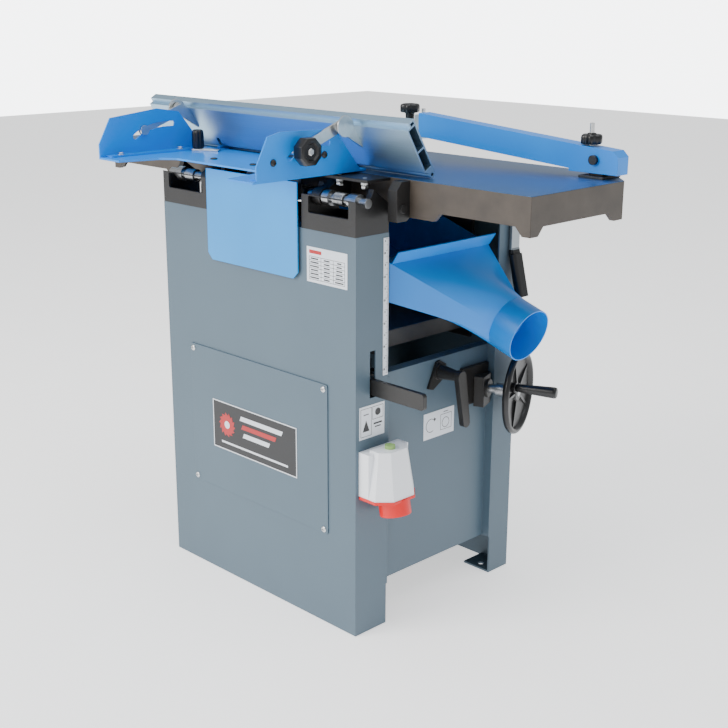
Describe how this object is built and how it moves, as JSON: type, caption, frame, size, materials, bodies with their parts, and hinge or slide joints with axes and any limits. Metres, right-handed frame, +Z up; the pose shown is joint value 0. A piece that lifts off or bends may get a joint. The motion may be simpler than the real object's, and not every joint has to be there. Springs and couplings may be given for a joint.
{
  "type": "planer thicknesser",
  "caption": "Combined planer thicknesser: folding tables over a sheet base, tilting fence on a sliding carrier, bridge guard, dust hood and handwheel bed lift.",
  "frame": {"origin": "centre of the four foot bolt holes on the floor", "axes": "+X along the tables towards the infeed end, +Y towards the fence side, +Z up"},
  "size_m": [1.09, 0.5812, 0.902],
  "materials": {
    "grey_coat": "satin powder coat",
    "blue_coat": "gloss",
    "black_casting": "black coated",
    "ground_casting": "ground top",
    "steel": "satin",
    "zinc": "zinc plated",
    "alloy": "anodised",
    "black_plastic": "gloss",
    "white_plastic": "matt",
    "red_plastic": "gloss",
    "green_plastic": "matt",
    "label_film": "printed film",
    "belt_rubber": "matt",
    "motor_paint": "satin"
  },
  "bodies": {
    "base": {"rear_side_panel": "grey_coat", "front_side_panel": "grey_coat", "end_panel_outfeed": "grey_coat", "end_panel_infeed": "grey_coat", "motor_cover": "grey_coat", "cover_screws": "zinc", "label_plates": "label_film", "thickness_scale": "alloy", "hinge_castings": "black_casting", "hinge_rods": "steel", "torsion_springs": "steel", "rear_guard_flap": "blue_coat", "side_frames": "grey_coat", "bearing_housings": "black_casting", "shaft_housings": "black_casting", "column_guide": "grey_coat", "motor_body": "motor_paint", "drive_belt": "belt_rubber", "inlet_housing": "white_plastic", "inlet_shroud": "red_plastic", "inlet_cap": "green_plastic"},
    "outfeed_table": {"outfeed_table": "ground_casting", "outfeed_hinge_arms": "black_casting", "outfeed_stop_screws": "zinc", "guard_post": "black_casting"},
    "infeed_table": {"infeed_table": "ground_casting", "infeed_hinge_arms": "black_casting", "infeed_stop_screws": "zinc"},
    "carrier": {"fence_carrier": "blue_coat", "carrier_brackets": "blue_coat", "carrier_bolts": "zinc"},
    "carrier_knob": {"carrier_clamp_knob": "black_plastic"},
    "fence": {"fence_profile": "alloy", "fence_lugs": "zinc"},
    "links": {"tilt_links": "zinc", "tilt_link_discs": "zinc"},
    "tilt_knob": {"tilt_clamp_knob": "black_plastic"},
    "guard_beam": {"guard_beam": "blue_coat", "guard_end_plate": "zinc"},
    "height_knob": {"guard_height_knob": "black_plastic"},
    "guard_slat": {"guard_slat": "alloy"},
    "slat_knob": {"guard_clamp_knob": "black_plastic"},
    "cutterhead": {"cutterhead": "steel", "cutterhead_knives": "steel", "cutterhead_pulley": "steel"},
    "motor_rotor": {"motor_rotor": "steel"},
    "outfeed_roller": {"outfeed_roller": "steel"},
    "infeed_roller": {"infeed_roller": "steel"},
    "bed": {"thicknesser_bed": "black_casting", "bed_column": "steel"},
    "leadscrew": {"leadscrew": "steel"},
    "handwheel": {"handwheel": "black_plastic", "handwheel_shaft": "steel"},
    "wheel_grip": {"handwheel_grip": "black_plastic"},
    "bed_clamp": {"bed_clamp_lever": "black_plastic"},
    "feed_lever": {"feed_lever": "steel"},
    "lock_outfeed": {"lock_lever_outfeed": "steel"},
    "lock_infeed": {"lock_lever_infeed": "steel"},
    "hood": {"dust_hood": "blue_coat", "hood_outlet": "blue_coat"}
  },
  "joints": [
    {"name": "outfeed_fold", "type": "hinge", "parent": "base", "child": "outfeed_table", "pos_m": [-0.2, 0.186, 0.767], "axis": [-1, 0, 0], "range_deg": [0, 90]},
    {"name": "infeed_fold", "type": "hinge", "parent": "base", "child": "infeed_table", "pos_m": [0.2, 0.186, 0.767], "axis": [-1, 0, 0], "range_deg": [0, 90]},
    {"name": "fence_slide", "type": "slide", "parent": "outfeed_table", "child": "carrier", "axis": [0, -1, 0], "range_m": [0, 0.12]},
    {"name": "carrier_knob_turn", "type": "hinge", "parent": "carrier", "child": "carrier_knob", "pos_m": [0.204, 0.168, 0.82], "axis": [0, 0, 1], "range_deg": [0, 180]},
    {"name": "fence_tilt", "type": "hinge", "parent": "carrier", "child": "fence", "pos_m": [0.03, 0.092, 0.8104], "axis": [1, 0, 0], "range_deg": [-14, 31]},
    {"name": "link_swing", "type": "hinge", "parent": "fence", "child": "links", "pos_m": [0.03, 0.174, 0.884], "axis": [1, 0, 0], "range_deg": [-49, 23]},
    {"name": "tilt_knob_turn", "type": "hinge", "parent": "links", "child": "tilt_knob", "pos_m": [-0.2, 0.262, 0.851], "axis": [1, 0, 0], "range_deg": [0, 180]},
    {"name": "guard_lift", "type": "hinge", "parent": "outfeed_table", "child": "guard_beam", "pos_m": [-0.49, -0.12, 0.833], "axis": [0, -1, 0], "range_deg": [-1.5, 6]},
    {"name": "height_knob_turn", "type": "hinge", "parent": "guard_beam", "child": "height_knob", "pos_m": [-0.472, -0.12, 0.86], "axis": [0, 0, 1], "range_deg": [0, 180]},
    {"name": "slat_slide", "type": "slide", "parent": "guard_beam", "child": "guard_slat", "axis": [0, -1, 0], "range_m": [0, 0.12]},
    {"name": "slat_knob_turn", "type": "hinge", "parent": "guard_beam", "child": "slat_knob", "pos_m": [-0.064, -0.12, 0.86], "axis": [0, 0, 1], "range_deg": [0, 180]},
    {"name": "cutterhead_spin", "type": "hinge", "parent": "base", "child": "cutterhead", "pos_m": [0, 0, 0.768], "axis": [0, 1, 0], "continuous": true},
    {"name": "motor_spin", "type": "hinge", "parent": "base", "child": "motor_rotor", "pos_m": [0.125, 0.15, 0.17], "axis": [0, 1, 0], "continuous": true},
    {"name": "outfeed_roller_spin", "type": "hinge", "parent": "base", "child": "outfeed_roller", "pos_m": [-0.068, 0, 0.746], "axis": [0, 1, 0], "continuous": true},
    {"name": "infeed_roller_spin", "type": "hinge", "parent": "base", "child": "infeed_roller", "pos_m": [0.068, 0, 0.746], "axis": [0, 1, 0], "continuous": true},
    {"name": "wheel_turn", "type": "hinge", "parent": "base", "child": "handwheel", "pos_m": [-0.327, -0.1519, 0.388], "axis": [-0.9367, -0.3502, 0], "range_deg": [-1355, 4955]},
    {"name": "grip_spin", "type": "hinge", "parent": "handwheel", "child": "wheel_grip", "pos_m": [-0.33996, -0.11724, 0.408], "axis": [-0.9367, -0.3502, 0], "continuous": true},
    {"name": "screw_turn", "type": "hinge", "parent": "base", "child": "leadscrew", "pos_m": [0, -0.0296, 0.45], "axis": [0, 0, 1], "range_deg": [-1355, 4955]},
    {"name": "bed_lift", "type": "slide", "parent": "base", "child": "bed", "axis": [0, 0, 1], "range_m": [-0.015, 0.055]},
    {"name": "bed_clamp_turn", "type": "hinge", "parent": "base", "child": "bed_clamp", "pos_m": [-0.25, -0.01, 0.442], "axis": [1, 0, 0], "range_deg": [0, 35]},
    {"name": "feed_lever_swing", "type": "hinge", "parent": "base", "child": "feed_lever", "pos_m": [-0.15, 0.17, 0.455], "axis": [0, 1, 0], "range_deg": [0, 18]},
    {"name": "lock_outfeed_swing", "type": "hinge", "parent": "base", "child": "lock_outfeed", "pos_m": [-0.266, -0.188, 0.702], "axis": [-1, 0, 0], "range_deg": [0, 90]},
    {"name": "lock_infeed_swing", "type": "hinge", "parent": "base", "child": "lock_infeed", "pos_m": [0.266, -0.188, 0.702], "axis": [-1, 0, 0], "range_deg": [0, 90]},
    {"name": "hood_draw", "type": "slide", "parent": "base", "child": "hood", "axis": [-1, 0, 0], "range_m": [0, 0.15]}
  ],
  "couplings": [
    {"joint": "infeed_fold", "follows": "outfeed_fold", "ratio": 1},
    {"joint": "slat_slide", "follows": "fence_slide", "ratio": 1},
    {"joint": "link_swing", "follows": "fence_tilt", "ratio": -1.535},
    {"joint": "motor_spin", "follows": "cutterhead_spin", "ratio": 0.77143},
    {"joint": "outfeed_roller_spin", "follows": "cutterhead_spin", "ratio": -0.01},
    {"joint": "infeed_roller_spin", "follows": "cutterhead_spin", "ratio": -0.01},
    {"joint": "wheel_turn", "follows": "bed_lift", "rad_per_m": 1570.8},
    {"joint": "screw_turn", "follows": "bed_lift", "rad_per_m": 1570.8}
  ]
}
